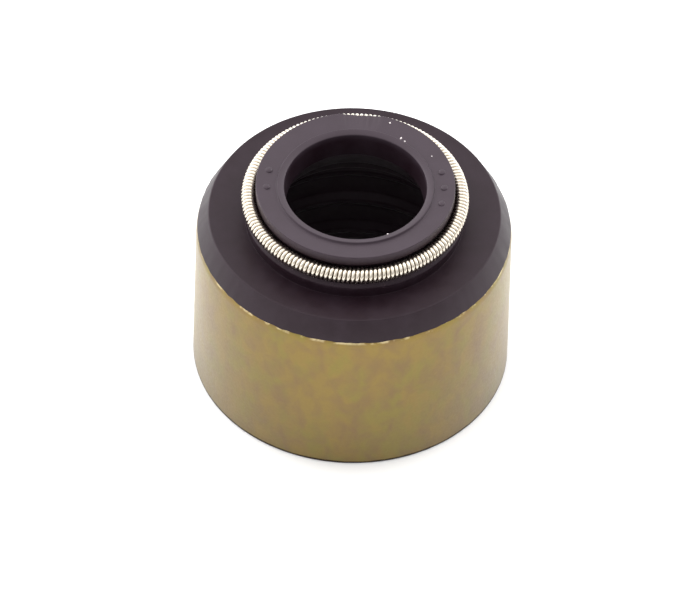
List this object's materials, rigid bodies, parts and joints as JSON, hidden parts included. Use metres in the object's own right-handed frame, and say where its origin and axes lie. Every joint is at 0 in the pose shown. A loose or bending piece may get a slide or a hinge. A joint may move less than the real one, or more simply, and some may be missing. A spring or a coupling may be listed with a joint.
{
  "type": "valve stem seal",
  "caption": "Engine valve stem seal: rubber lip with a garter spring, bonded to a drawn steel case that presses over a valve guide.",
  "frame": {"origin": "centre of the steel case's bottom edge, on the face that the seal stands on", "axes": "+Z along the seal's axis from the guide's side to the lip, X and Y across it"},
  "size_m": [0.0142, 0.0142, 0.0108],
  "materials": {
    "case_steel": "deep-drawn steel, zinc plated and yellow chromated, satin with a mottled olive tint",
    "seal_rubber": "moulded fluoro rubber, dark brown-black, satin",
    "spring_steel": "bright drawn spring wire"
  },
  "bodies": {
    "root": {"steel_case": "case_steel", "rubber_body": "seal_rubber", "garter_spring": "spring_steel"}
  },
  "joints": []
}
